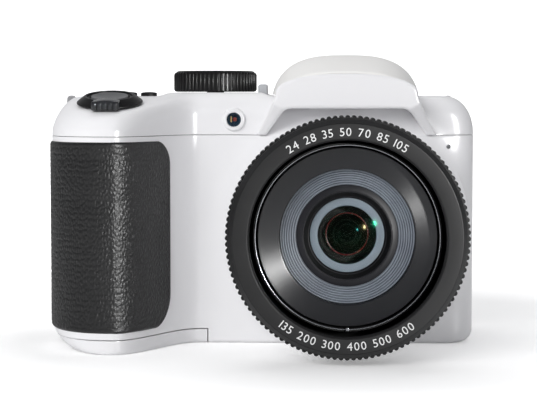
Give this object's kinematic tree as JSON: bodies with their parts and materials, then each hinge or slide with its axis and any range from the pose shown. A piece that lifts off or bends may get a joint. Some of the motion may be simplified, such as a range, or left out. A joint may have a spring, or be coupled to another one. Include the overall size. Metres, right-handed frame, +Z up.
{
  "type": "bridge camera",
  "caption": "White bridge camera with a deep rubber grip, a large telescoping zoom lens in a knurled ring, a pop-up flash hump, a mode dial and a hinged battery door.",
  "frame": {"origin": "mouth of the tripod socket on the base, under the lens axis", "axes": "+X along the body away from the grip, the lens looks along -Y, +Z up"},
  "size_m": [0.1141, 0.0822, 0.0783],
  "materials": {
    "white_plastic": "glossy moulded white",
    "lid_plastic": "glossy moulded warm white",
    "black_plastic": "fine satin black",
    "grip_rubber": "pebbled black grip rubber",
    "ring_satin": "satin dark grey",
    "baffle_grey": "ridged blue grey",
    "silver": "bright turned rim",
    "lens_glass": "coated front element",
    "lamp_glass": "tinted lamp window",
    "screen": "gloss black screen window",
    "flash_clear": "ribbed clear flash window",
    "steel": "plain bright steel",
    "brass": "turned brass",
    "circuit_board": "green solder mask",
    "chip": "dark moulded package",
    "cell_wrap": "printed cell jacket",
    "key_grey": "light grey key"
  },
  "bodies": {
    "root": {"front_cover": "white_plastic", "rear_cover": "white_plastic", "top_cover": "white_plastic", "lens_barrel": "black_plastic", "lens_base": "black_plastic", "battery_box": "black_plastic", "shutter_bush": "black_plastic", "grip_rubber": "grip_rubber", "lens_ring": "ring_satin", "lens_face_ring": "ring_satin", "af_lamp_lens": "lamp_glass", "lcd_window": "screen", "guide_rods": "steel", "chassis": "steel", "battery_contacts": "steel", "card_slot": "steel", "strap_lug_grip": "steel", "strap_lug_port": "steel", "microphone": "steel", "port_sockets": "steel", "zoom_motor": "steel", "case_screws": "steel", "dial_bush": "steel", "flash_bracket": "steel", "flash_pin": "steel", "door_pin": "steel", "port_pin": "steel", "tripod_bush": "brass", "sensor_board": "circuit_board", "main_board": "circuit_board", "image_sensor": "chip", "lcd_panel": "chip", "flash_capacitor": "chip", "battery_cells": "cell_wrap"},
    "zoom_outer": {"zoom_tube_outer": "black_plastic", "tube_rim": "silver"},
    "zoom_inner": {"zoom_tube_inner": "black_plastic", "lens_baffle": "baffle_grey", "retaining_ring": "black_plastic", "front_element": "lens_glass"},
    "focus": {"focus_group": "black_plastic"},
    "dial": {"mode_dial": "black_plastic"},
    "lever": {"zoom_lever": "black_plastic"},
    "shutter": {"shutter_button": "black_plastic"},
    "flash": {"flash_lid": "lid_plastic", "flash_arm": "black_plastic", "flash_window": "flash_clear"},
    "flash_key": {"flash_button": "key_grey"},
    "power_key": {"power_button": "black_plastic"},
    "burst_key": {"burst_button": "black_plastic"},
    "door": {"battery_door": "white_plastic", "door_hinge": "steel"},
    "lock": {"door_lock": "key_grey"},
    "port": {"port_cover": "white_plastic"},
    "nav": {"nav_pad": "black_plastic"},
    "set_key": {"set_button": "black_plastic"},
    "record_key": {"record_button": "black_plastic"},
    "menu_key": {"menu_button": "black_plastic"},
    "play_key": {"play_button": "black_plastic"}
  },
  "joints": [
    {"name": "zoom_extend", "type": "slide", "parent": "root", "child": "zoom_outer", "axis": [0, -1, 0], "range_m": [0, 0.02]},
    {"name": "zoom_extend_inner", "type": "slide", "parent": "zoom_outer", "child": "zoom_inner", "axis": [0, -1, 0], "range_m": [0, 0.02]},
    {"name": "focus_move", "type": "slide", "parent": "root", "child": "focus", "axis": [0, -1, 0], "range_m": [-0.003, 0.003]},
    {"name": "dial_turn", "type": "hinge", "parent": "root", "child": "dial", "pos_m": [-0.0365, 0.002, 0.0668], "axis": [0, 0, 1], "continuous": true},
    {"name": "zoom_lever_turn", "type": "hinge", "parent": "root", "child": "lever", "pos_m": [-0.0625, -0.028, 0.06477], "axis": [0, -0.1994, 0.9799], "range_deg": [-20, 20], "stiffness_Nm_per_rad": 0.02},
    {"name": "shutter_press", "type": "slide", "parent": "root", "child": "shutter", "axis": [0, 0.1994, -0.9799], "range_m": [0, 0.0012], "stiffness_N_per_m": 400},
    {"name": "flash_raise", "type": "hinge", "parent": "root", "child": "flash", "pos_m": [0, 0.0128, 0.0692], "axis": [-1, 0, 0], "range_deg": [0, 68]},
    {"name": "flash_key_press", "type": "slide", "parent": "root", "child": "flash_key", "axis": [0, 0, -1], "range_m": [0, 0.0008], "stiffness_N_per_m": 300},
    {"name": "power_press", "type": "slide", "parent": "root", "child": "power_key", "axis": [0, 0, -1], "range_m": [0, 0.0006], "stiffness_N_per_m": 300},
    {"name": "burst_press", "type": "slide", "parent": "root", "child": "burst_key", "axis": [0, 0, -1], "range_m": [0, 0.0006], "stiffness_N_per_m": 300},
    {"name": "door_open", "type": "hinge", "parent": "root", "child": "door", "pos_m": [-0.07641, -0.00925, 0.0022], "axis": [0, 1, 0], "range_deg": [0, 95]},
    {"name": "lock_slide", "type": "slide", "parent": "door", "child": "lock", "axis": [-1, 0, 0], "range_m": [0, 0.003]},
    {"name": "port_open", "type": "hinge", "parent": "root", "child": "port", "pos_m": [0.03385, 0.00465, 0.029], "axis": [0, 0, 1], "range_deg": [0, 100]},
    {"name": "nav_press", "type": "slide", "parent": "root", "child": "nav", "axis": [0, -1, 0], "range_m": [0, 0.0005], "stiffness_N_per_m": 500},
    {"name": "set_press", "type": "slide", "parent": "root", "child": "set_key", "axis": [0, -1, 0], "range_m": [0, 0.0005], "stiffness_N_per_m": 500},
    {"name": "record_press", "type": "slide", "parent": "root", "child": "record_key", "axis": [0, -1, 0], "range_m": [0, 0.0005], "stiffness_N_per_m": 500},
    {"name": "menu_press", "type": "slide", "parent": "root", "child": "menu_key", "axis": [0, -1, 0], "range_m": [0, 0.0005], "stiffness_N_per_m": 500},
    {"name": "play_press", "type": "slide", "parent": "root", "child": "play_key", "axis": [0, -1, 0], "range_m": [0, 0.0005], "stiffness_N_per_m": 500}
  ],
  "couplings": [
    {"joint": "zoom_extend_inner", "follows": "zoom_extend", "ratio": 1}
  ]
}
